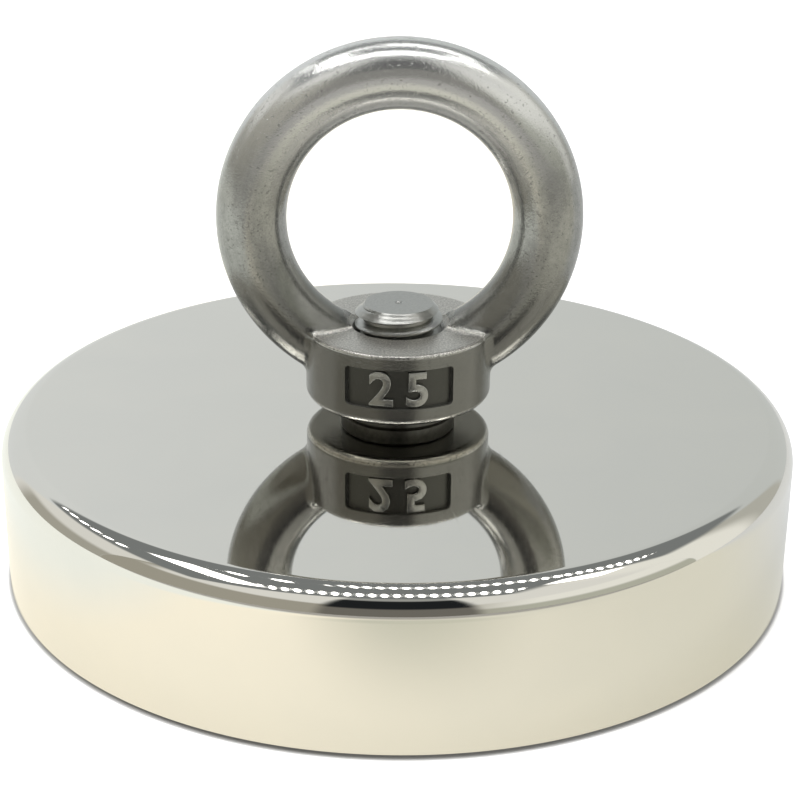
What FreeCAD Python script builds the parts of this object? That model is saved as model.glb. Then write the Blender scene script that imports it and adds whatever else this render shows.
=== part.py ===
import FreeCAD, Part
import math
import os

# A magnet fishing magnet, in millimetres: a steel pot that holds a ring magnet, with an eye nut on a stud.
# The origin is the centre of the magnet's working face, +Z runs up the stud, and the eye faces -Y and +Y.

# Steel pot
POT_RADIUS = 45.0
POT_HEIGHT = 18.0
POT_WALL = 5.5
POT_FLOOR = 6.0
POT_EDGE_ROUND = 3.0
POT_RIM_CHAMFER = 0.5
POT_CORNER_ROUND = 0.8
STUD_HOLE_RADIUS = 5.25
CAVITY_RADIUS = POT_RADIUS - POT_WALL
CAVITY_TOP = POT_HEIGHT - POT_FLOOR

# Ring magnet, and the resin that holds it
MAGNET_OUTER_RADIUS = 38.0
MAGNET_INNER_RADIUS = 13.5
MAGNET_FACE_Z = 0.4
MAGNET_CHAMFER = 0.6
ADHESIVE_THICKNESS = 0.2
RESIN_FACE_Z = 0.6
RESIN_DISH = 0.25
MAGNET_TOP_Z = CAVITY_TOP - ADHESIVE_THICKNESS

# M10 x 1.5 thread, right-hand, with a loose fit between stud and nut
PITCH = 1.5
THREAD_ANGLE = 306.0
FLANK_SLOPE = math.tan(math.radians(30))
FLANK_GAP = 0.045
PITCH_RADIUS = 4.51
STUD_CREST_RADIUS = 4.95
STUD_ROOT_RADIUS = 4.05
NUT_CREST_RADIUS = 4.25
NUT_ROOT_RADIUS = 5.1
ROOT_OVERLAP = 0.1

# Countersunk screw, 30 mm long over its head, whose end is the stud
SCREW_LENGTH = 30.0
SCREW_FACE_Z = 0.8
HEAD_RADIUS = 10.0
HEAD_RIM = 0.5
SHANK_RADIUS = 5.0
SOCKET_ACROSS_FLATS = 6.0
SOCKET_DEPTH = 3.6
STUD_TIP_RADIUS = 3.85
TIP_MARK_RADIUS = 0.5
TIP_MARK_DEPTH = 0.2
HEAD_TOP_Z = SCREW_FACE_Z + HEAD_RIM + HEAD_RADIUS - SHANK_RADIUS
STUD_TOP_Z = SCREW_FACE_Z + SCREW_LENGTH

# Bush that fills the hole of the magnet and seats the screw's head
BUSH_RADIUS = 12.0
BUSH_FACE_Z = 0.4
HEAD_CLEARANCE = 0.3

# Seat ring between the pot and the eye nut
SEAT_RADIUS = 6.5
SEAT_HEIGHT = 2.0
SEAT_CHAMFER = 0.2
SEAT_TOP_Z = POT_HEIGHT + SEAT_HEIGHT

# Eye nut: a round boss with a cast ring on it
BOSS_RADIUS = 10.5
BOSS_HEIGHT = 8.4
BOSS_TOP_ROUND = 0.45
BOSS_FOOT_ROUND = 1.0
EYE_RING_RADIUS = 16.4
EYE_BAR_RADIUS = 3.9
EYE_HEIGHT_OVER_POT = 22.6
ARM_BLEND = 1.5
MOUTH_RADIUS = 5.5
MOUTH_DEPTH = MOUTH_RADIUS - NUT_CREST_RADIUS
ARM_CUT_HEIGHT = 4.0
ARM_CUT_RADIUS = 7.8
BOSS_TOP_Z = SEAT_TOP_Z + BOSS_HEIGHT
EYE_CENTRE_Z = POT_HEIGHT + EYE_HEIGHT_OVER_POT

# Sunk panel in the front of the boss
PANEL_HALF_ANGLE = 34.5
PANEL_LOW_Z = 22.15
PANEL_HIGH_Z = 26.7
PANEL_DEPTH = 0.5
PANEL_CORNER_ROUND = 0.5


def along_z(radius, low, high):
    """A cylinder about the stud's axis."""
    return Part.makeCylinder(radius, high - low, FreeCAD.Vector(0, 0, low))


def washer(outer_radius, inner_radius, low, high):
    """A flat ring about the stud's axis."""
    return along_z(outer_radius, low, high).cut(along_z(inner_radius, low, high))


def turned(outline):
    """A solid turned about the stud's axis from an outline of (radius, height) points."""
    points = [FreeCAD.Vector(radius, 0, height) for radius, height in outline]
    face = Part.Face(Part.makePolygon(points + points[:1]))
    return face.revolve(FreeCAD.Vector(0, 0, 0), FreeCAD.Vector(0, 0, 1), 360)


def is_circle_at(edge, radius, height):
    """Whether an edge is the circle of this radius about the stud's axis at this height."""
    if not isinstance(edge.Curve, Part.Circle):
        return False
    centre = edge.Curve.Center
    return abs(edge.Curve.Radius - radius) < 0.01 and abs(centre.z - height) < 0.01


def circles(shape, radius, height):
    """The edges of a shape that are this circle about the stud's axis."""
    return [edge for edge in shape.Edges if is_circle_at(edge, radius, height)]


def helical_ridge(first_turn, turns, base_radius, tip_radius, gap):
    """One thread ridge, narrower towards its tip. Turns are counted from one below the screw's head.

    The gap is taken off each flank of the stud's ridge, and a negative one widens the nut's groove.
    """
    spine = Part.Wire(Part.makeLongHelix(PITCH, turns * PITCH, base_radius, 0).Edges)
    corners = []
    for radius, side in ((base_radius, -1), (tip_radius, -1), (tip_radius, 1), (base_radius, 1)):
        half_width = PITCH / 4 - gap - FLANK_SLOPE * (radius - PITCH_RADIUS)
        corners.append(FreeCAD.Vector(radius, 0, side * half_width))
    ridge = spine.makePipeShell([Part.makePolygon(corners + corners[:1])], True, True)
    ridge.translate(FreeCAD.Vector(0, 0, HEAD_TOP_Z + (first_turn - 1) * PITCH))
    ridge.rotate(FreeCAD.Vector(0, 0, 0), FreeCAD.Vector(0, 0, 1), THREAD_ANGLE)
    return ridge


def steel_pot():
    """The cup: a thick floor on top, a wall that reaches the working face, and a hole for the stud."""
    pot = along_z(POT_RADIUS, 0, POT_HEIGHT).cut(along_z(CAVITY_RADIUS, 0, CAVITY_TOP))
    pot = pot.makeFillet(POT_EDGE_ROUND, circles(pot, POT_RADIUS, POT_HEIGHT))
    pot = pot.makeFillet(POT_CORNER_ROUND, circles(pot, CAVITY_RADIUS, CAVITY_TOP))
    rim = circles(pot, POT_RADIUS, 0) + circles(pot, CAVITY_RADIUS, 0)
    pot = pot.makeChamfer(POT_RIM_CHAMFER, rim)
    return pot.cut(along_z(STUD_HOLE_RADIUS, CAVITY_TOP, POT_HEIGHT))


def ring_magnet():
    """One sintered ring, magnetised through its thickness, with all four edges broken."""
    ring = washer(MAGNET_OUTER_RADIUS, MAGNET_INNER_RADIUS, MAGNET_FACE_Z, MAGNET_TOP_Z)
    edges = [
        edge
        for radius in (MAGNET_OUTER_RADIUS, MAGNET_INNER_RADIUS)
        for height in (MAGNET_FACE_Z, MAGNET_TOP_Z)
        for edge in circles(ring, radius, height)
    ]
    return ring.makeChamfer(MAGNET_CHAMFER, edges)


def adhesive_bed():
    """The thin layer of adhesive between the magnet and the floor of the pot."""
    inner, outer = MAGNET_INNER_RADIUS + MAGNET_CHAMFER, MAGNET_OUTER_RADIUS - MAGNET_CHAMFER
    return washer(outer, inner, MAGNET_TOP_Z, CAVITY_TOP)


def resin_ring(inner_radius, outer_radius, top):
    """Cast resin that fills a round gap, its open face drawn up a little in the middle."""
    low_in = FreeCAD.Vector(inner_radius, 0, RESIN_FACE_Z)
    dish = FreeCAD.Vector((inner_radius + outer_radius) / 2, 0, RESIN_FACE_Z + RESIN_DISH)
    low_out = FreeCAD.Vector(outer_radius, 0, RESIN_FACE_Z)
    high_out = FreeCAD.Vector(outer_radius, 0, top)
    high_in = FreeCAD.Vector(inner_radius, 0, top)
    face_curve = Part.Arc(low_in, dish, low_out).toShape()
    sides = [Part.makeLine(low_out, high_out), Part.makeLine(high_out, high_in), Part.makeLine(high_in, low_in)]
    outline = Part.Face(Part.Wire([face_curve] + sides))
    return outline.revolve(FreeCAD.Vector(0, 0, 0), FreeCAD.Vector(0, 0, 1), 360)


def centre_bush():
    """The steel bush in the middle of the magnet, countersunk for the screw's head."""
    hole = turned(
        [
            (0, 0),
            (HEAD_RADIUS + HEAD_CLEARANCE, 0),
            (HEAD_RADIUS + HEAD_CLEARANCE, SCREW_FACE_Z + HEAD_RIM),
            (HEAD_RADIUS, SCREW_FACE_Z + HEAD_RIM),
            (STUD_HOLE_RADIUS, HEAD_TOP_Z - (STUD_HOLE_RADIUS - SHANK_RADIUS)),
            (STUD_HOLE_RADIUS, CAVITY_TOP + 1),
            (0, CAVITY_TOP + 1),
        ]
    )
    return along_z(BUSH_RADIUS, BUSH_FACE_Z, CAVITY_TOP).cut(hole)


def countersunk_screw():
    """The screw: a flat head with a hexagon socket, and a thread all the way up to the bevelled tip."""
    core = along_z(STUD_ROOT_RADIUS, HEAD_TOP_Z, STUD_TOP_Z)
    turns = math.ceil((STUD_TOP_Z - HEAD_TOP_Z) / PITCH) + 2
    ridge = helical_ridge(0, turns, STUD_ROOT_RADIUS - ROOT_OVERLAP, STUD_CREST_RADIUS, FLANK_GAP)
    bevel = STUD_CREST_RADIUS - STUD_TIP_RADIUS
    envelope = turned(
        [
            (0, HEAD_TOP_Z),
            (STUD_CREST_RADIUS + bevel, HEAD_TOP_Z),
            (STUD_CREST_RADIUS + bevel, STUD_TOP_Z - 2 * bevel),
            (STUD_TIP_RADIUS, STUD_TOP_Z),
            (0, STUD_TOP_Z),
        ]
    )
    head = turned(
        [
            (0, SCREW_FACE_Z),
            (HEAD_RADIUS, SCREW_FACE_Z),
            (HEAD_RADIUS, SCREW_FACE_Z + HEAD_RIM),
            (SHANK_RADIUS, HEAD_TOP_Z),
            (0, HEAD_TOP_Z),
        ]
    )
    corner_radius = SOCKET_ACROSS_FLATS / 2 / math.cos(math.radians(30))
    corners = [
        FreeCAD.Vector(corner_radius * math.cos(turn), corner_radius * math.sin(turn), SCREW_FACE_Z)
        for turn in (math.radians(60 * corner) for corner in range(6))
    ]
    socket = Part.Face(Part.makePolygon(corners + corners[:1])).extrude(FreeCAD.Vector(0, 0, SOCKET_DEPTH))
    mark_low = STUD_TOP_Z - TIP_MARK_DEPTH
    mark = Part.makeCone(0, TIP_MARK_RADIUS, TIP_MARK_DEPTH, FreeCAD.Vector(0, 0, mark_low))
    return core.fuse(ridge).common(envelope).fuse(head).cut(socket).cut(mark)


def seat_ring():
    """The turned ring that the eye nut is tightened down on."""
    ring = washer(SEAT_RADIUS, STUD_HOLE_RADIUS, POT_HEIGHT, SEAT_TOP_Z)
    edges = circles(ring, SEAT_RADIUS, POT_HEIGHT) + circles(ring, SEAT_RADIUS, SEAT_TOP_Z)
    return ring.makeChamfer(SEAT_CHAMFER, edges)


def cast_eye():
    """The eye nut as cast: a boss, and a ring that stands on it, blended where they meet."""
    boss = along_z(BOSS_RADIUS, SEAT_TOP_Z, BOSS_TOP_Z)
    boss = boss.makeFillet(BOSS_FOOT_ROUND, circles(boss, BOSS_RADIUS, SEAT_TOP_Z))
    boss = boss.makeFillet(BOSS_TOP_ROUND, circles(boss, BOSS_RADIUS, BOSS_TOP_Z))
    eye_centre = FreeCAD.Vector(0, 0, EYE_CENTRE_Z)
    ring = Part.makeTorus(EYE_RING_RADIUS, EYE_BAR_RADIUS, eye_centre, FreeCAD.Vector(0, 1, 0))
    body = boss.fuse(ring)
    joins = [edge for edge in body.Edges if is_join(edge)]
    return body.makeFillet(ARM_BLEND, joins)


def is_join(edge):
    """Whether an edge lies where the ring comes out of the boss."""
    middle = edge.valueAt((edge.FirstParameter + edge.LastParameter) / 2)
    on_bar = abs(math.hypot(middle.x, middle.z - EYE_CENTRE_Z) - EYE_RING_RADIUS)
    to_bar = math.hypot(on_bar, middle.y)
    return abs(to_bar - EYE_BAR_RADIUS) < 0.01 and len(edge.Vertexes) == 2


def tapped_hole():
    """The space of the nut's threaded hole, bevelled at both ends, and of the cut that clears the arms above it."""
    bore = turned(
        [
            (0, SEAT_TOP_Z),
            (MOUTH_RADIUS, SEAT_TOP_Z),
            (NUT_CREST_RADIUS, SEAT_TOP_Z + MOUTH_DEPTH),
            (NUT_CREST_RADIUS, BOSS_TOP_Z - MOUTH_DEPTH),
            (MOUTH_RADIUS, BOSS_TOP_Z),
            (ARM_CUT_RADIUS, BOSS_TOP_Z + ARM_CUT_HEIGHT),
            (0, BOSS_TOP_Z + ARM_CUT_HEIGHT),
        ]
    )
    first_turn = math.floor((SEAT_TOP_Z - HEAD_TOP_Z) / PITCH)
    turns = math.ceil(BOSS_HEIGHT / PITCH) + 3
    groove = helical_ridge(first_turn, turns, NUT_CREST_RADIUS - ROOT_OVERLAP, NUT_ROOT_RADIUS, -FLANK_GAP)
    return bore, groove


def sunk_panel():
    """The space of the panel: a band of the boss's wall between two upright planes, its corners round."""
    band = washer(BOSS_RADIUS + 1, BOSS_RADIUS - PANEL_DEPTH, PANEL_LOW_Z, PANEL_HIGH_Z)
    reach = 2 * BOSS_RADIUS
    half_width = reach * math.tan(math.radians(PANEL_HALF_ANGLE))
    corners = [
        FreeCAD.Vector(0, 0, PANEL_LOW_Z),
        FreeCAD.Vector(-half_width, -reach, PANEL_LOW_Z),
        FreeCAD.Vector(half_width, -reach, PANEL_LOW_Z),
    ]
    wedge = Part.Face(Part.makePolygon(corners + corners[:1]))
    panel = band.common(wedge.extrude(FreeCAD.Vector(0, 0, PANEL_HIGH_Z - PANEL_LOW_Z)))
    radial = [edge for edge in panel.Edges if isinstance(edge.Curve, Part.Line) and is_level(edge)]
    return panel.makeFillet(PANEL_CORNER_ROUND, radial)


def is_level(edge):
    """Whether a straight edge runs level."""
    return abs(edge.Vertexes[0].Z - edge.Vertexes[1].Z) < 0.01


def eye_nut():
    """The finished eye nut: the casting with its threaded hole and sunk panel."""
    bore, groove = tapped_hole()
    return cast_eye().cut(sunk_panel()).cut(bore).cut(groove)


def parts():
    """Every piece by its name."""
    return {
        "steel_pot": steel_pot(),
        "ring_magnet": ring_magnet(),
        "magnet_adhesive": adhesive_bed(),
        "outer_resin_ring": resin_ring(MAGNET_OUTER_RADIUS, CAVITY_RADIUS, CAVITY_TOP - POT_CORNER_ROUND),
        "inner_resin_ring": resin_ring(BUSH_RADIUS, MAGNET_INNER_RADIUS, MAGNET_TOP_Z),
        "centre_bush": centre_bush(),
        "countersunk_screw": countersunk_screw(),
        "seat_ring": seat_ring(),
        "eye_nut": eye_nut(),
    }


os.makedirs("parts", exist_ok=True)
for name, shape in parts().items():
    print(name, shape.ShapeType, "solids", len(shape.Solids), "valid", shape.isValid())
    print("  volume", round(shape.Volume, 2), "faces", len(shape.Faces))
    shape.Solids[0].exportStep("parts/" + name + ".step")
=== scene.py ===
# %% [markdown]
# A magnet fishing magnet is a steel cup with a ring magnet glued into it and a cast eye screwed on top.
# Nearly everything on it is bare or plated metal, so the looks come from clean curved surfaces and from
# what they reflect. The model arrives packed, with every piece at its real size in metres. The script
# dresses it and moves nothing.

import math

import bmesh
import bpy
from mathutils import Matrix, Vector


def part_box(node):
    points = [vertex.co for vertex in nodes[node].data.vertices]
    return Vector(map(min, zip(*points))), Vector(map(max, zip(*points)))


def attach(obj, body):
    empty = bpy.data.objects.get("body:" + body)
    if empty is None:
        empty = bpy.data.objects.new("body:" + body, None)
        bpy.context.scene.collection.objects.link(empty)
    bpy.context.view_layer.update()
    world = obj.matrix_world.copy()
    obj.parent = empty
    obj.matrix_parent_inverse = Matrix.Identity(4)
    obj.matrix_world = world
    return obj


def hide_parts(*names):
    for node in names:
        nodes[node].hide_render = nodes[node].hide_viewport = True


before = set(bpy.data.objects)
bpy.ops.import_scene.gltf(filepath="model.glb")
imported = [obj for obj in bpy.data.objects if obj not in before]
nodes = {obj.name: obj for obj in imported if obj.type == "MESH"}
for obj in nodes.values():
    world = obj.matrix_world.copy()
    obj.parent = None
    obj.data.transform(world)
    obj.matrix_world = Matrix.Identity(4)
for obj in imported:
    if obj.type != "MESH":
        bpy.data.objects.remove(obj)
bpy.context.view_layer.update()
MM = 0.001
scene = bpy.context.scene
print("nodes:", sorted(nodes))

# %% [markdown]
# The camera stands where the photographer stood. A photo of a thing of known size gives that place: the
# outlines of the disc and the ring, and the ring's mirror image in the disc, only line up from one spot. It
# is a fifth of a metre away and looks down on the disc. The turn is written as three angles, because a
# hand-held camera is never quite level.

# %% Camera
CAMERA_PLACE = Vector((-2.58, -204.51, 105.92)) * MM
CAMERA_TURN = (66.947, -0.557, -0.552)
CAMERA_LENS = 87.04
SENSOR_WIDTH = 36.0
NEAREST_SEEN = 10 * MM

camera_data = bpy.data.cameras.new("camera")
camera_data.lens = CAMERA_LENS
camera_data.sensor_width = SENSOR_WIDTH
camera_data.clip_start = NEAREST_SEEN
camera = bpy.data.objects.new("camera", camera_data)
camera.location = CAMERA_PLACE
camera.rotation_euler = [math.radians(turn) for turn in CAMERA_TURN]
scene.collection.objects.link(camera)
scene.camera = camera
scene.view_settings.view_transform = "Standard"
looks_down = round(90 - CAMERA_TURN[0], 1)
print("camera is", round(CAMERA_PLACE.length / MM), "mm away and looks down", looks_down, "degrees")

# %% [markdown]
# Shaders are built from nodes, and a finish with scratches and grain takes dozens of them. Placing each one
# by name buries the idea, so this small class wraps a socket: sums and products of wrapped sockets add the
# Math nodes on their own, and one method adds a node of any other kind. A formula for a finish then reads
# like arithmetic.

# %% Node arithmetic


class Shade:
    """A number, colour or vector that varies from place to place, held as a socket of a node tree."""

    def __init__(self, tree, socket=None):
        self.tree = tree
        self.socket = socket

    def node(self, kind, settings, values, output=0):
        """Add a node: its settings first, then a value or a link for each of its sockets."""
        made = self.tree.nodes.new(kind)
        for name, setting in settings.items():
            setattr(made, name, setting)
        for name, value in values.items():
            if isinstance(value, Shade):
                self.tree.links.new(value.socket, made.inputs[name])
            else:
                made.inputs[name].default_value = value
        return Shade(self.tree, made.outputs[output])

    def maths(self, operation, *values):
        return self.node("ShaderNodeMath", {"operation": operation}, dict(enumerate(values)))

    def __add__(self, other):
        return self.maths("ADD", self, other)

    def __sub__(self, other):
        return self.maths("SUBTRACT", self, other)

    def __rsub__(self, other):
        return self.maths("SUBTRACT", other, self)

    def __mul__(self, other):
        return self.maths("MULTIPLY", self, other)

    def __truediv__(self, other):
        return self.maths("DIVIDE", self, other)

    def __pow__(self, other):
        return self.maths("POWER", self, other)

    __radd__ = __add__
    __rmul__ = __mul__


# %% [markdown]
# A few shapes of mask come back in every finish: a soft step between two values, a narrow band around one
# value, and a mix of two colours. Map Range with its smooth setting is one node for the soft step, where a
# ramp would need a widget with stops. Noise is always read from the piece's own coordinates, so it sticks
# to the metal as it turns.

# %% Masks and mixes
COLOUR_A, COLOUR_B, COLOUR_OUT = 6, 7, 2  # the colour sockets of a Mix node, by their place


def step_up(value, low, high):
    """0 below the low value, 1 above the high one, and smooth between them."""
    ends = {0: value, 1: low, 2: high, 3: 0.0, 4: 1.0}
    return value.node("ShaderNodeMapRange", {"interpolation_type": "SMOOTHSTEP"}, ends)


def band(value, middle, half_width, softness):
    """1 within half a width of the middle value, fading to 0 outside it."""
    distance = value.maths("ABSOLUTE", value - middle)
    return 1 - step_up(distance, half_width, half_width + softness)


def mix(amount, first, second):
    """The first colour where the amount is 0, the second where it is 1."""
    values = {0: amount, COLOUR_A: first, COLOUR_B: second}
    return amount.node("ShaderNodeMix", {"data_type": "RGBA"}, values, COLOUR_OUT)


def grey(level):
    return (level, level, level, 1.0)


def noise(place, size, detail=2.0, roughness=0.5, warp=0.0):
    """A field of soft lumps about this size in metres, between 0 and 1."""
    values = {"Vector": place, "Scale": 1 / size, "Detail": detail}
    values.update(Roughness=roughness, Distortion=warp)
    return place.node("ShaderNodeTexNoise", {}, values)


def split(vector):
    """The three coordinates of a vector."""
    made = vector.tree.nodes.new("ShaderNodeSeparateXYZ")
    vector.tree.links.new(vector.socket, made.inputs[0])
    return [Shade(vector.tree, socket) for socket in made.outputs]


# %% [markdown]
# Polished plating is a mirror, so the studio around it is half of its finish. The photo was taken in a
# small light tent: pale walls, a grey ceiling with two strips of lamps, and an opening in front with the
# dark room behind it. A world shader that looks at the direction of each ray can paint that tent. Walls
# could be built as meshes instead, but they would also block the lamps and show up in other views.

# %% Directions in the tent
LEAST = 0.02

world = bpy.data.worlds.new("light_tent")
scene.world = world
world.use_nodes = True
sky = Shade(world.node_tree)
background = world.node_tree.nodes["Background"]
across, along, up = split(sky.node("ShaderNodeTexCoord", {}, {}, "Generated"))
height = sky.maths("MAXIMUM", up, LEAST)
ceiling_x = across / height
ceiling_y = along / height
side_ratio = across / sky.maths("MINIMUM", along, -LEAST)
print("directions take", len(world.node_tree.nodes), "nodes")

# %% [markdown]
# Each wall is one soft mask mixed over the last. The far wall is what the top of the disc shows. The
# opening in front ends up in the round edge of the disc as a dark band, with the bright flap over the
# opening as a line above it. Low down the band is only half dark, or the whole disc would mirror black when
# it is seen from behind.

# %% Walls and opening
FAR_WALL = (0.77, 0.80, 0.81, 1.0)
FAR_WALL_RIGHT = (0.62, 0.65, 0.65, 1.0)
LEFT_WALL = (0.82, 0.82, 0.79, 1.0)
LEFT_WALL_LOW = (0.44, 0.43, 0.38, 1.0)
RIGHT_WALL = (0.52, 0.52, 0.48, 1.0)
RIGHT_WALL_NEAR = (0.95, 0.95, 0.90, 1.0)
FRONT_FLAP = (0.85, 0.85, 0.82, 1.0)
FLAP_OVER_GAP = (0.38, 0.39, 0.38, 1.0)
ROOM_LEFT = (0.40, 0.385, 0.33, 1.0)
ROOM_RIGHT = (0.52, 0.53, 0.46, 1.0)
DARK_ROOM = (0.016, 0.018, 0.020, 1.0)
ROOM_LOW = (0.180, 0.172, 0.155, 1.0)

BACK_CORNER = 1.15
FRONT_CORNER = -12.0
SOFT_CORNER = 0.06
GAP_SIDES = (0.34, 0.44)
GAP_TOP = (0.81, 0.86)
GAP_DARK_FROM = (0.40, 0.50)
FLAP_FROM = (0.52, 0.60)

tent = mix(step_up(across, -0.3, 0.3), FAR_WALL, FAR_WALL_RIGHT)
wall_corner = sky.maths("MAXIMUM", along * BACK_CORNER, along * FRONT_CORNER)
at_side = step_up(sky.maths("ABSOLUTE", across) - wall_corner, -SOFT_CORNER, SOFT_CORNER)
near_low = step_up(along, 0.65, 0.50) * step_up(up, 0.42, 0.28)
left_wall = mix(near_low, LEFT_WALL, LEFT_WALL_LOW)
right_wall = mix(step_up(along, 0.45, 0.25), RIGHT_WALL, RIGHT_WALL_NEAR)
tent = mix(at_side, tent, mix(step_up(across, -0.1, 0.1), left_wall, right_wall))
in_front = step_up(along, 0.05, -0.05) * (1 - at_side)
front_right = mix(step_up(up, 0.22, 0.34), ROOM_RIGHT, RIGHT_WALL_NEAR)
tent = mix(in_front, tent, mix(step_up(across, 0.1, 0.6), ROOM_LEFT, front_right))
gap = 1 - step_up(sky.maths("ABSOLUTE", side_ratio), *GAP_SIDES)
gap = gap * step_up(along, 0.0, -0.05)
flap = step_up(along, -0.05, -0.25) * step_up(up, *FLAP_FROM)
tent = mix(flap * (1 - at_side), tent, mix(gap, FRONT_FLAP, FLAP_OVER_GAP))
room_shade = mix(step_up(up, *GAP_DARK_FROM), ROOM_LOW, DARK_ROOM)
tent = mix(gap * (1 - step_up(up, *GAP_TOP)), tent, room_shade)
print("walls and opening:", len(world.node_tree.nodes), "nodes so far")

# %% [markdown]
# The ceiling lies inside a frame. On the right it leaves a corner open, through which the bright wall is
# seen. Dividing a direction by its height gives the point where it meets a ceiling of height one, so the
# frame is given in ceiling heights.

# %% Ceiling
CEILING = (0.22, 0.235, 0.24, 1.0)
CEILING_LEFT = (-1.15, -1.0)
CEILING_RIGHT = (0.85, 1.10)
CEILING_FRONT = (-0.50, -0.42)
CEILING_BACK = (1.05, 1.20)
CORNER_FROM_X = (0.40, 0.52)
CORNER_TO_Y = (0.14, 0.26)
HORIZON = (0.05, 0.2)

inside_x = step_up(ceiling_x, *CEILING_LEFT) * (1 - step_up(ceiling_x, *CEILING_RIGHT))
inside_y = step_up(ceiling_y, *CEILING_FRONT) * (1 - step_up(ceiling_y, *CEILING_BACK))
over = step_up(up, *HORIZON)
open_corner = step_up(ceiling_x, *CORNER_FROM_X) * (1 - step_up(ceiling_y, *CORNER_TO_Y))
tent = mix(inside_x * inside_y * over * (1 - open_corner), tent, CEILING)
print("ceiling:", len(world.node_tree.nodes), "nodes so far")

# %% [markdown]
# The lamps are rows of short bars on the ceiling. The fraction of a count along a row repeats one bar. The
# round edge of the disc squeezes a bar's length much more than its width, so it shows there as a round dot.
# The edge also turns away to the sides, so the bars of the two long rows fan out like spokes and stand
# wider apart there, which an arctangent gives. Otherwise their dots would smear into a line. A soft panel
# at each side gives the round bar of the ring its long highlights.

# %% Rows of small lamps
LAMP_STRENGTH = 8.0
PANEL_STRENGTH = 7.0
STRIP_SWING = 1.5
ROW_END = 0.02
BAR_EDGE = (0.75, 1.0)
FAR_FROM_ZERO = 50.5
BACK_ROW = 0.40
DASH_ROW = 0.38
FRONT_ROW = -0.21
LEFT_ROW = -0.84


def lamp_row(spacing, run, row, half_width, low, high, share=0.30):
    """1 on each bar of a row that runs one way over the ceiling, from a low to a high end."""
    along_row, across_row = run
    cell = (sky.maths("FRACT", spacing + FAR_FROM_ZERO) - 0.5) / share
    off_row = (across_row - row) / half_width
    bars = 1 - step_up((cell * cell + off_row * off_row) ** 0.5, *BAR_EDGE)
    in_row = step_up(along_row, low, low + ROW_END) * (1 - step_up(along_row, high - ROW_END, high))
    return bars * in_row * over


left_to_right = (ceiling_x, ceiling_y)
front_to_back = (ceiling_y, ceiling_x)


def swing(row, spread):
    """The place along a row: its bars fan out like spokes, as the round edge of the disc sees them."""
    fanned = ceiling_x * ((ceiling_y - row) * spread + 1)
    return sky.maths("ARCTANGENT", fanned * STRIP_SWING) / STRIP_SWING


back_count = swing(BACK_ROW, ceiling_x * 0.85 + 0.55) / 0.023
back_row = lamp_row(back_count, left_to_right, BACK_ROW, half_width=0.11, low=-0.10, high=0.63)
dash_count = ceiling_x / 0.105
dashes = lamp_row(dash_count, left_to_right, DASH_ROW, half_width=0.08, low=-0.40, high=-0.11, share=0.20)
front_count = swing(FRONT_ROW, 0.90) / 0.036
front_row = lamp_row(front_count, left_to_right, FRONT_ROW, half_width=0.13, low=-0.45, high=0.40)
left_count = ceiling_y / 0.13
left_row = lamp_row(left_count, front_to_back, LEFT_ROW, half_width=0.05, low=0.35, high=1.05)
tent = mix(back_row + dashes + front_row + left_row, tent, grey(LAMP_STRENGTH))
left_panel = band(ceiling_x, -0.53, 0.06, 0.05) * band(ceiling_y, 0.08, 0.28, 0.08)
right_panel = band(ceiling_x, 0.56, 0.09, 0.06) * band(ceiling_y, 0.04, 0.07, 0.05)
tent = mix((left_panel + right_panel) * over, tent, grey(PANEL_STRENGTH))
print("lamps and panels:", len(world.node_tree.nodes), "nodes so far")

# %% [markdown]
# A product photo has a plain white background, but a white world would wash out the mirror. So the camera
# sees plain white, mirrors see the tent, and soft light is an even pale grey that stands for the lit cloth.
# The Light Path node tells these rays apart.

# %% What each kind of ray sees
UNDER_FLOOR = 0.7
SOFT_LIGHT = 0.75

for_camera = sky.node("ShaderNodeLightPath", {}, {}, "Is Camera Ray")
for_soft = sky.node("ShaderNodeLightPath", {}, {}, "Is Diffuse Ray")
tent = mix(step_up(up, 0.0, -0.06), tent, grey(UNDER_FLOOR))
light = mix(for_camera, mix(for_soft, tent, grey(SOFT_LIGHT)), grey(1.0))
world.node_tree.links.new(light.socket, background.inputs["Color"])
print("the tent is", len(world.node_tree.nodes), "nodes")

# %% [markdown]
# The floor is white paper. The wall of the disc mirrors the paper right in front of it, which is warm and
# bright on the left and dimmer on the right, so the paper shows that light to mirrors as a painted tint. To
# the camera it glows a little on top of its own lit white, which makes it plain white wherever no shadow
# falls and keeps the dark line under the disc.

# %% Paper floor
PAPER_SIZE = 3.0

bpy.ops.object.select_all(action="DESELECT")
bpy.ops.mesh.primitive_plane_add(size=PAPER_SIZE, location=(0, 0, 0))
floor = bpy.context.object
floor.name = "floor"

paper = bpy.data.materials.new("paper")
paper.use_nodes = True
floor.data.materials.append(paper)
paper_tree = Shade(paper.node_tree)
paper.node_tree.nodes.remove(paper.node_tree.nodes["Principled BSDF"])
floor_x, floor_y = split(paper_tree.node("ShaderNodeTexCoord", {}, {}, "Object"))[:2]
print("paper", PAPER_SIZE, "m across")

# %% [markdown]
# The tint is painted light and shade on the white paper round the disc: warm in front, paler to the left,
# greyer to the right, cooler behind, a painted shadow some way in front of the disc, and dark far in front,
# where the tent is open. The lit part of the paper is kept in the mirror image as well, because it carries
# the disc's own shadow.

# %% What mirrors see of the paper
WARM = (1.00, 0.93, 0.74, 1.0)
WARM_RIGHT = (0.62, 0.605, 0.485, 1.0)
PALE_LEFT = (0.86, 0.90, 0.84, 1.0)
COOL_BEHIND = (0.55, 0.57, 0.57, 1.0)
NEAR_SHADE = (0.43, 0.43, 0.31, 1.0)
FAR_SHADE = (0.16, 0.15, 0.12, 1.0)
SHADE_PLACE = (4 * MM, -90 * MM)

# Painted light: the colours that mirrors see on the white paper.
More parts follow.
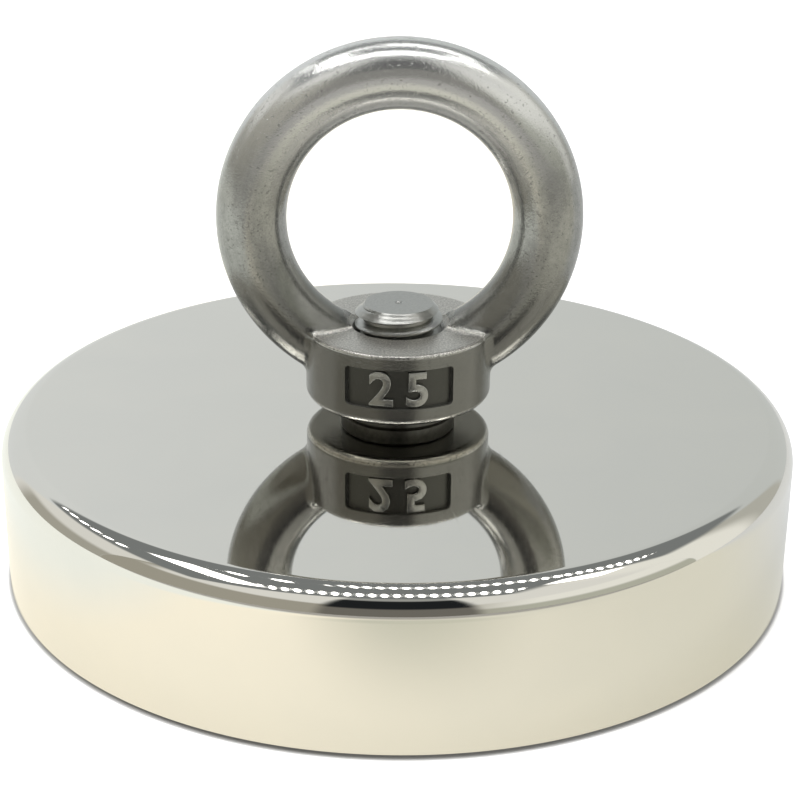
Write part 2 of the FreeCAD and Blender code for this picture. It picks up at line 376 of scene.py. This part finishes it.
tint = mix(step_up(floor_x, -45 * MM, 60 * MM), WARM, WARM_RIGHT)
tint = mix(step_up(floor_x, -42 * MM, -60 * MM), tint, PALE_LEFT)
tint = mix(step_up(floor_y, -30 * MM, 10 * MM) * step_up(floor_x, 0.0, 50 * MM), tint, COOL_BEHIND)
from_shade = ((floor_x - SHADE_PLACE[0]) ** 2 + (floor_y - SHADE_PLACE[1]) ** 2) ** 0.5
# Painted shadow on the paper in front of the disc, as mirrors see it.
tint = mix(1 - step_up(from_shade, 12 * MM, 40 * MM), tint, NEAR_SHADE)
tint = mix(step_up(floor_y, -100 * MM, -160 * MM), tint, FAR_SHADE)
print("tint of the paper:", len(paper.node_tree.nodes), "nodes")

# %% [markdown]
# Paper under the disc lies in the dark, so there its white is painted darker and its glow is cut: a painted
# shadow, which adds to the lamps' own shadow in the thin line of shadow under the disc. Diffuse and
# Emission
# shaders are added up: one for the camera, and one for mirrors.

# %% Shaders of the paper
UNDER_DISC = (44.9 * MM, 45.5 * MM)
PAPER_WHITE = 0.80
PAPER_PAINTED_SHADE = 0.45
GLOW = 0.42
MIRROR_WHITE = 0.25
MIRROR_GLOW = 0.85

floor_radius = (floor_x * floor_x + floor_y * floor_y) ** 0.5
# Painted shadow: darker paper and no glow where the paper meets the disc.
clear = step_up(floor_radius, *UNDER_DISC)
paper_white = mix(clear, grey(PAPER_PAINTED_SHADE), grey(PAPER_WHITE))
lit_white = paper_tree.node("ShaderNodeBsdfDiffuse", {}, {"Color": paper_white})
glow_tint = mix(clear, grey(0.0), grey(1.0))
glow = paper_tree.node("ShaderNodeEmission", {}, {"Color": glow_tint, "Strength": GLOW})
seen = paper_tree.node("ShaderNodeAddShader", {}, {0: lit_white, 1: glow})
mirrored_paper = paper_tree.node("ShaderNodeBsdfDiffuse", {}, {"Color": grey(MIRROR_WHITE)})
mirrored_tint = mix(clear, grey(0.10), tint)
mirrored_glow = paper_tree.node("ShaderNodeEmission", {}, {"Color": mirrored_tint, "Strength": MIRROR_GLOW})
mirrored = paper_tree.node("ShaderNodeAddShader", {}, {0: mirrored_paper, 1: mirrored_glow})
glossy = paper_tree.node("ShaderNodeLightPath", {}, {}, "Is Glossy Ray")
paper_shader = paper_tree.node("ShaderNodeMixShader", {}, {0: glossy, 1: seen, 2: mirrored})
paper.node_tree.links.new(paper_shader.socket, paper.node_tree.nodes["Material Output"].inputs["Surface"])
print("paper:", len(paper.node_tree.nodes), "nodes")

# %% [markdown]
# One broad lamp high on the left and a weaker one on the right give the cast eye its shape and the disc its
# soft shadow. Area lamps do this best: their size sets how soft the shadow is. They are hidden from
# mirrors, because the painted room already shows what the plating should see.

# %% Lamps


def add_lamp(name, place, size, power):
    """A square lamp aimed at the middle of the magnet."""
    data = bpy.data.lights.new(name, "AREA")
    data.size = size
    data.energy = power
    lamp = bpy.data.objects.new(name, data)
    lamp.location = place
    lamp.rotation_euler = (-Vector(place)).to_track_quat("-Z", "Y").to_euler()
    lamp.visible_glossy = False
    scene.collection.objects.link(lamp)
    return lamp


add_lamp("key_lamp", (-0.45, -0.15, 0.75), 0.5, 3.0)
add_lamp("fill_lamp", (0.55, -0.25, 0.60), 0.6, 1.2)

# %% [markdown]
# Every finish starts the same way: a new material with one Principled shader, its constant numbers set on
# the shader itself. Patterns read Object coordinates, which are the real place on the part in metres. Most
# pieces here are turned, so the radius about the stud's axis is worked out once for each finish.

# %% Start of a finish


class Finish(Shade):
    """A material with one Principled shader, and the places that its patterns are read from."""

    def __init__(self, name, **constants):
        self.material = bpy.data.materials.new(name)
        self.material.use_nodes = True
        super().__init__(self.material.node_tree)
        self.shader = self.tree.nodes["Principled BSDF"]
        for socket, value in constants.items():
            self.shader.inputs[socket.replace("_", " ")].default_value = value
        self.place = self.node("ShaderNodeTexCoord", {}, {}, "Object")
        self.x, self.y, self.z = split(self.place)
        self.radius = (self.x * self.x + self.y * self.y) ** 0.5

    def feed(self, socket, value):
        """Let a pattern drive one of the shader's sockets."""
        self.tree.links.new(value.socket, self.shader.inputs[socket])

    def stretched(self, turn, factors):
        """The place turned about Z and then squeezed, for patterns with a direction."""
        values = {"Vector": self.place, "Rotation": (0.0, 0.0, math.radians(turn)), "Scale": factors}
        return self.node("ShaderNodeMapping", {"vector_type": "TEXTURE"}, values)

    def raise_by(self, height, distance):
        """Make a height pattern stand out by this many metres at most."""
        bump = self.node("ShaderNodeBump", {}, {"Height": height, "Distance": distance, "Strength": 1.0})
        self.feed("Normal", bump)

    def put_on(self, *pieces):
        """Give this finish to pieces in place of the plain colour they came with."""
        for piece in pieces:
            piece.data.materials.clear()
            piece.data.materials.append(self.material)
        names = [piece.name for piece in pieces]
        print(self.material.name, "on", names, "with", len(self.tree.nodes), "nodes")


# %% [markdown]
# The cup's edge is a mirror bent round a radius of three millimetres, and there even small facets show as
# steps in the reflection. So the cup is modelled again, exactly as large, with four hundred sides and
# fourteen strips in the bend. It starts as a cylinder: the face below is inset and pushed up to hollow it,
# and the edges get their bevels last.

# %% Edit-mode helpers


def start_cylinder(name, radius, low, high, sides):
    """A new cylinder about the stud's axis, with its origin at the world's, left in edit mode."""
    bpy.ops.object.select_all(action="DESELECT")
    middle = (0, 0, (low + high) / 2)
    bpy.ops.mesh.primitive_cylinder_add(vertices=sides, radius=radius, depth=high - low, location=middle)
    piece = bpy.context.object
    piece.name = name
    piece.data.name = name
    bpy.ops.object.transform_apply(location=True, rotation=True, scale=True)
    bpy.ops.object.mode_set(mode="EDIT")
    return piece


def pick_faces(piece, test):
    """Select only the faces whose middle and normal pass a test."""
    bpy.ops.mesh.select_mode(type="FACE")
    bpy.ops.mesh.select_all(action="DESELECT")
    mesh = bmesh.from_edit_mesh(piece.data)
    for face in mesh.faces:
        face.select_set(test(face.calc_center_median(), face.normal))
    bmesh.update_edit_mesh(piece.data)


def pick_circle(piece, radius, height):
    """Select only the edges of one circle about the stud's axis, and count them."""
    bpy.ops.mesh.select_mode(type="EDGE")
    bpy.ops.mesh.select_all(action="DESELECT")
    mesh = bmesh.from_edit_mesh(piece.data)
    close = 0.02 * MM
    for edge in mesh.edges:
        ends = [abs(v.co.xy.length - radius) < close and abs(v.co.z - height) < close for v in edge.verts]
        edge.select_set(all(ends))
    bmesh.update_edit_mesh(piece.data)
    return sum(edge.select for edge in mesh.edges)


# %% [markdown]
# The cup is turned from steel, with a hole for the screw in its floor. Insetting a face copies its outline
# inwards, and extruding the copy makes the hollow. A Boolean would cut the same hollow, but it leaves long
# thin faces that shade badly in a mirror finish.

# %% Hollow cup
CUP_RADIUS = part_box("steel_pot")[1].x
CUP_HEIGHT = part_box("steel_pot")[1].z
CUP_SIDES = 400
CUP_WALL = 5.5 * MM
CUP_DEPTH = 12 * MM
STUD_HOLE = 5.25 * MM
CAVITY = CUP_RADIUS - CUP_WALL

cup = start_cylinder("nickel_cup", CUP_RADIUS, 0, CUP_HEIGHT, CUP_SIDES)
pick_faces(cup, lambda middle, normal: normal.z < -0.9)
bpy.ops.mesh.inset(thickness=CUP_WALL)
bpy.ops.mesh.extrude_region_move(TRANSFORM_OT_translate={"value": (0, 0, CUP_DEPTH)})
bpy.ops.mesh.inset(thickness=CAVITY - STUD_HOLE)
bpy.ops.mesh.delete(type="FACE")
pick_faces(cup, lambda middle, normal: normal.z > 0.9)
bpy.ops.mesh.inset(thickness=CUP_RADIUS - STUD_HOLE)
bpy.ops.mesh.delete(type="FACE")
bpy.ops.mesh.select_mode(type="EDGE")
rims = bmesh.from_edit_mesh(cup.data)
for edge in rims.edges:
    edge.select_set(edge.is_boundary)
bmesh.update_edit_mesh(cup.data)
bpy.ops.mesh.bridge_edge_loops()
print("hollow cup:", len(bmesh.from_edit_mesh(cup.data).faces), "faces")

# %% [markdown]
# Plating chips on a sharp edge, so every edge of the cup is broken. The upper one mirrors the whole ceiling
# and gets the fourteen strips; the rim below gets a small chamfer. The Weighted Normal modifier then keeps
# the flat faces flat where they meet the bend.

# %% Edges of the cup
TOP_ROUND = 3.0 * MM
TOP_STRIPS = 14
RIM_CHAMFER = 0.5 * MM
CAVITY_ROUND = 0.8 * MM
SHARPEST_SMOOTH = math.radians(30)

print("sides:", pick_circle(cup, CUP_RADIUS, CUP_HEIGHT))
bpy.ops.mesh.bevel(offset=TOP_ROUND, segments=TOP_STRIPS, affect="EDGES")
for radius in (CUP_RADIUS, CAVITY):
    pick_circle(cup, radius, 0)
    bpy.ops.mesh.bevel(offset=RIM_CHAMFER, segments=1, affect="EDGES")
pick_circle(cup, CAVITY, CUP_DEPTH)
bpy.ops.mesh.bevel(offset=CAVITY_ROUND, segments=4, affect="EDGES")
bpy.ops.mesh.select_all(action="SELECT")
bpy.ops.mesh.normals_make_consistent(inside=False)
bpy.ops.object.mode_set(mode="OBJECT")
bpy.ops.object.shade_smooth_by_angle(angle=SHARPEST_SMOOTH)
bpy.ops.object.modifier_add(type="WEIGHTED_NORMAL")
cup.modifiers[-1].keep_sharp = True
bpy.ops.object.modifier_apply(modifier=cup.modifiers[-1].name)
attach(cup, "pot")
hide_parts("steel_pot")
print("cup faces:", len(cup.data.polygons), "box", [round(side / MM, 2) for side in cup.dimensions])

# %% [markdown]
# The cup is plated with bright nickel. Real plating is never a perfect mirror: a haze that comes and goes,
# and hair lines from handling that run every way. Both only change the roughness, so the reflections stay
# straight. Each set of hair lines is noise that is stretched sixtyfold one way, of which only the crests
# are kept.

# %% Bright nickel of the cup
NICKEL_CLEAR = (0.80, 0.775, 0.715, 1.0)
NICKEL_HAZY = (0.75, 0.735, 0.69, 1.0)
HAIR_SQUEEZE = (60.0, 1.0, 60.0)


def hair_lines(finish, turn, size):
    """Thin straight lines at one angle, 1 on a line and 0 elsewhere."""
    lines = noise(finish.stretched(turn, HAIR_SQUEEZE), size, detail=1.0)
    return step_up(lines, 0.68, 0.74)


nickel = Finish("bright_nickel", Metallic=1.0)
haze = noise(nickel.place, 14 * MM, detail=3.0, warp=0.6)
hairs = hair_lines(nickel, 21, 0.35 * MM) + hair_lines(nickel, 100, 0.4 * MM)
hairs = hairs + hair_lines(nickel, 152, 0.3 * MM)
nickel.feed("Roughness", 0.015 + haze * 0.035 + hairs * 0.04)
nickel.feed("Base Color", mix(haze, NICKEL_CLEAR, NICKEL_HAZY))
nickel.put_on(cup)

# %% [markdown]
# The eye is cast in stainless steel and tumbled with stones, which leaves a dull skin with a fine grain,
# darker on the floor of the sunk panel, where the stones didn't reach. Their marks run along the bar of the
# ring, so the streaks are noise read from places given as an angle round the ring and a distance from its
# centre, with the angle squeezed sevenfold.

# %% Cast stainless of the eye
RING_OUTSIDE = 20.3 * MM
RING_CENTRE_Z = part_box("eye_nut")[1].z - RING_OUTSIDE
RING_MIDDLE = 16 * MM
STREAK = 7

cast = Finish("tumbled_cast_stainless", Metallic=0.86)
grain = noise(cast.place, 0.22 * MM, detail=3.0, roughness=0.65)
lumps = noise(cast.place, 1.1 * MM, detail=3.0)
clouds = noise(cast.place, 5 * MM, detail=2.0)
pits = step_up(noise(cast.place, 0.32 * MM, detail=2.0, warp=0.5), 0.62, 0.70)
over_centre = cast.z - RING_CENTRE_Z
ring_radius = (cast.x * cast.x + over_centre * over_centre) ** 0.5
round_ring = cast.maths("ARCTAN2", cast.x, over_centre) * (RING_MIDDLE / STREAK)
along_bar = cast.node("ShaderNodeCombineXYZ", {}, {0: round_ring, 1: cast.y, 2: ring_radius})
streaks = noise(along_bar, 0.5 * MM, detail=4.0, roughness=0.6)
print("patterns of the casting:", len(cast.tree.nodes), "nodes")

# %% [markdown]
# The skin's colour is laid on in coats, each mixed over the last where its mask allows. Two of the coats
# are
# painted light: painted shade darkens the skin from the ring down to the boss, which stands in the shade of
# its own mirror image, and a painted highlight makes the top of the ring the palest.

# %% Colour of the skin
SKIN_DARK = (0.27, 0.27, 0.252, 1.0)
SKIN_PALE = (0.36, 0.36, 0.336, 1.0)
SKIN_WARM = (0.34, 0.32, 0.27, 1.0)
SKIN_PAINTED_SHADE = (0.17, 0.17, 0.156, 1.0)
SKIN_PAINTED_LIGHT = (0.72, 0.72, 0.70, 1.0)
PIT = (0.08, 0.08, 0.07, 1.0)
RIM_PAINTED_HIGHLIGHT = (0.62, 0.61, 0.57, 1.0)
PAINTED_SHADE_Z = (42 * MM, 27 * MM)
PAINTED_LIGHT_Z = (43 * MM, 56 * MM)
BOSS_TOP_Z = 28.4 * MM
BOSS_FOOT_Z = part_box("eye_nut")[0].z

skin_level = streaks * 0.3 + lumps * 0.3 + grain * 0.4
skin = mix(step_up(skin_level, 0.38, 0.62), SKIN_DARK, SKIN_PALE)
skin = mix(step_up(clouds, 0.55, 0.75) * 0.2, skin, SKIN_WARM)
# Painted shade: the skin grows darker from the ring down to the boss.
skin = mix(step_up(cast.z, *PAINTED_SHADE_Z) * 0.85, skin, SKIN_PAINTED_SHADE)
# Painted highlight: the skin grows paler towards the top of the ring.
skin = mix(step_up(cast.z, *PAINTED_LIGHT_Z) * 0.85, skin, SKIN_PAINTED_LIGHT)
skin = mix(pits * 0.35, skin, PIT)
# Painted highlight: thin pale lines along the top and foot rims of the boss, broken up by the grain.
rim_highlight = band(cast.z, BOSS_TOP_Z - 0.25 * MM, 0.10 * MM, 0.15 * MM)
rim_highlight = rim_highlight + band(cast.z, BOSS_FOOT_Z + 0.55 * MM, 0.12 * MM, 0.25 * MM)
rim_highlight = rim_highlight * band(cast.radius, 10.25 * MM, 0.20 * MM, 0.10 * MM) * step_up(grain, 0.30, 0.55)
skin = mix(rim_highlight * 0.8, skin, RIM_PAINTED_HIGHLIGHT)
print("skin of the casting:", len(cast.tree.nodes), "nodes")

# %% [markdown]
# Where the tumbling stones can't reach, the casting stays dull and dark: on the floor of the sunk panel and
# on top of the boss. The height goes through a bump, because grains of a tenth of a millimetre are too
# small to model and too many to carve.

# %% Panel and top of the boss
PANEL_SIDE = math.radians(33)
PANEL_MIDDLE_Z = 24.4 * MM
PANEL_HALF_HEIGHT = 2.1 * MM
PANEL_DARK = (0.09, 0.09, 0.08, 1.0)
TOP_DARK = (0.34, 0.33, 0.305, 1.0)
TOP_PALE = (0.60, 0.585, 0.54, 1.0)
FIGURE_TOP_PAINTED_HIGHLIGHT = (0.38, 0.38, 0.355, 1.0)
CAST_RELIEF = 0.024 * MM

from_front = cast.maths("ARCTAN2", cast.x, cast.y * -1)
at_panel = band(from_front, 0.0, PANEL_SIDE, math.radians(1.5))
at_panel = at_panel * band(cast.z, PANEL_MIDDLE_Z, PANEL_HALF_HEIGHT, 0.3 * MM)
in_panel = at_panel * band(cast.radius, 9.9 * MM, 0.2 * MM, 0.12 * MM)
# Painted highlight: the tops of the raised figures are made paler.
figure_top_highlight = at_panel * band(cast.radius, 10.35 * MM, 0.08 * MM, 0.06 * MM)
on_top = band(cast.z, BOSS_TOP_Z, 0.25 * MM, 0.15 * MM) * (1 - step_up(cast.radius, 10.2 * MM, 10.5 * MM))
skin = mix(on_top, skin, mix(step_up(grain, 0.35, 0.65), TOP_DARK, TOP_PALE))
skin = mix(figure_top_highlight, skin, FIGURE_TOP_PAINTED_HIGHLIGHT)
cast.feed("Base Color", mix(in_panel, skin, PANEL_DARK))
cast.feed("Roughness", 0.04 + grain * 0.09 + streaks * 0.09 + in_panel * 0.2 + on_top * 0.20)
cast.raise_by(grain * 0.8 + streaks * 0.3 + lumps * 0.3 - pits * 0.5, CAST_RELIEF)
cast.put_on(nodes["eye_nut"])

# %% [markdown]
# The sunk panel on the boss carries raised figures, as size marks on castings are. Blender's own font gives
# two plain digits: a text object with a little thickness and a rounded edge is made a mesh, and its points
# are then wrapped round the boss one by one, which keeps the strokes upright. A Curve modifier would do it
# too, with a circle to follow.

# %% Raised figures
FIGURES = "25"
FIGURE_HEIGHT = 3.8 * MM
FIGURE_BOLD = 0.07 * MM
FIGURE_MIDDLE_Z = 24.42 * MM
PANEL_FLOOR = 10.0 * MM
FIGURE_RISE = 0.30 * MM
SIZE_PER_HEIGHT = 1.42
FIGURE_SPACING = 1.45
FIGURE_EDGE = 0.10 * MM
SAME_POINT = 0.002 * MM

bpy.ops.object.select_all(action="DESELECT")
bpy.ops.object.text_add(location=(0, 0, 0))
figures = bpy.context.object
figures.name = "raised_figures"
figures.data.body = FIGURES
figures.data.align_x = "CENTER"
figures.data.size = FIGURE_HEIGHT * SIZE_PER_HEIGHT
figures.data.space_character = FIGURE_SPACING
figures.data.offset = FIGURE_BOLD
figures.data.resolution_u = 10
figures.data.extrude = FIGURE_RISE / 2
figures.data.bevel_depth = FIGURE_EDGE
figures.data.bevel_resolution = 2
bpy.ops.object.convert(target="MESH")
figures = bpy.context.object
points = [vertex.co.copy() for vertex in figures.data.vertices]
lowest = min(point.y for point in points)
middle_y = (lowest + max(point.y for point in points)) / 2
for vertex, point in zip(figures.data.vertices, points):
    turn = point.x / PANEL_FLOOR
    reach = PANEL_FLOOR + FIGURE_RISE / 2 + point.z
    height = FIGURE_MIDDLE_Z + point.y - middle_y
    vertex.co = (reach * math.sin(turn), -reach * math.cos(turn), height)
bpy.ops.object.mode_set(mode="EDIT")
bpy.ops.mesh.select_all(action="SELECT")
bpy.ops.mesh.remove_doubles(threshold=SAME_POINT)
bpy.ops.mesh.normals_make_consistent(inside=False)
bpy.ops.object.mode_set(mode="OBJECT")
bpy.ops.object.shade_smooth_by_angle(angle=math.radians(40))
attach(figures, "eye_nut")
cast.put_on(figures)
print("figures:", len(figures.data.polygons), "faces,", round((middle_y - lowest) * 2 / MM, 2), "mm high")

# %% [markdown]
# The screw is rolled stainless steel, and its flat end shows faint rings of the cutting tool. A sine of the
# radius gives the rings, and on the steep flanks of the thread they run together with the marks of the
# rolling.

# %% Steel of the screw
SCREW_DARK = (0.34, 0.34, 0.32, 1.0)
SCREW_PALE = (0.52, 0.52, 0.495, 1.0)


def tool_rings(finish, width):
    """Rings about the stud's axis, each this wide, between -1 and 1."""
    return finish.maths("SINE", finish.radius * (2 * math.pi / width))


screw = Finish("rolled_screw_steel", Metallic=1.0)
fine = noise(screw.place, 0.4 * MM, detail=3.0)
screw.feed("Base Color", mix(fine, SCREW_DARK, SCREW_PALE))
screw.feed("Roughness", 0.24 + fine * 0.14)
screw.raise_by(tool_rings(screw, 0.35 * MM) * 0.2 + fine, 0.02 * MM)
screw.put_on(nodes["countersunk_screw"])

# %% [markdown]
# The seat ring and the bush are turned steel. The seat ring is painted near black, as painted shade for the
# shade it sits in under the boss. The bush is bare and shows the rings of the cutting tool, as the end of
# the screw does.

# %% Other steel pieces
SEAT_SHADE_DARK = (0.09, 0.09, 0.085, 1.0)
SEAT_SHADE_PALE = (0.19, 0.19, 0.18, 1.0)
BUSH_DARK = (0.46, 0.46, 0.44, 1.0)
BUSH_PALE = (0.62, 0.62, 0.60, 1.0)

seat = Finish("turned_seat_steel", Metallic=1.0)
seat_grain = noise(seat.place, 0.5 * MM, detail=3.0)
# Painted shade: a near-black colour for the seat ring in the shade under the boss.
seat.feed("Base Color", mix(seat_grain, SEAT_SHADE_DARK, SEAT_SHADE_PALE))
seat.feed("Roughness", 0.25 + seat_grain * 0.15)
seat.put_on(nodes["seat_ring"])

bush = Finish("turned_bush_steel", Metallic=1.0)
bush_grain = noise(bush.place, 0.8 * MM, detail=3.0)
bush.feed("Base Color", mix(bush_grain, BUSH_DARK, BUSH_PALE))
bush.feed("Roughness", 0.24 + bush_grain * 0.12)
bush.raise_by(tool_rings(bush, 0.5 * MM), 0.01 * MM)
bush.put_on(nodes["centre_bush"])

# %% [markdown]
# A sintered magnet rusts quickly, so it is plated with nickel as well. Its faces are ground and not
# polished, which makes the plating satin: nearly the colour of the cup, with more roughness and a fine
# grain.

# %% Satin nickel of the magnet
SATIN_DARK = (0.60, 0.585, 0.55, 1.0)
SATIN_PALE = (0.74, 0.725, 0.69, 1.0)

satin = Finish("satin_nickel", Metallic=1.0)
satin_grain = noise(satin.place, 0.9 * MM, detail=4.0)
satin.feed("Base Color", mix(satin_grain, SATIN_DARK, SATIN_PALE))
satin.feed("Roughness", 0.2 + satin_grain * 0.16)
satin.put_on(nodes["ring_magnet"])

# %% [markdown]
# Black resin fills the gaps round the magnet. It is poured and sets with a glossy, slightly wavy skin, so
# it gets a broad bump and no grain. The adhesive under the magnet is out of sight in use, but each piece
# can be looked at alone.

# %% Resin and adhesive
RESIN_DARK = grey(0.012)
RESIN_PALE = grey(0.03)
ADHESIVE_DARK = (0.62, 0.55, 0.36, 1.0)
ADHESIVE_PALE = (0.74, 0.70, 0.55, 1.0)

resin = Finish("black_resin")
resin_lumps = noise(resin.place, 2.5 * MM, detail=2.0)
resin.feed("Base Color", mix(resin_lumps, RESIN_DARK, RESIN_PALE))
resin.feed("Roughness", 0.18 + resin_lumps * 0.2)
resin.raise_by(resin_lumps, 0.1 * MM)
resin.put_on(nodes["outer_resin_ring"], nodes["inner_resin_ring"])

adhesive = Finish("cured_adhesive")
adhesive_lumps = noise(adhesive.place, 3 * MM, detail=2.0)
adhesive.feed("Base Color", mix(adhesive_lumps, ADHESIVE_DARK, ADHESIVE_PALE))
adhesive.feed("Roughness", 0.4 + adhesive_lumps * 0.2)
adhesive.put_on(nodes["magnet_adhesive"])
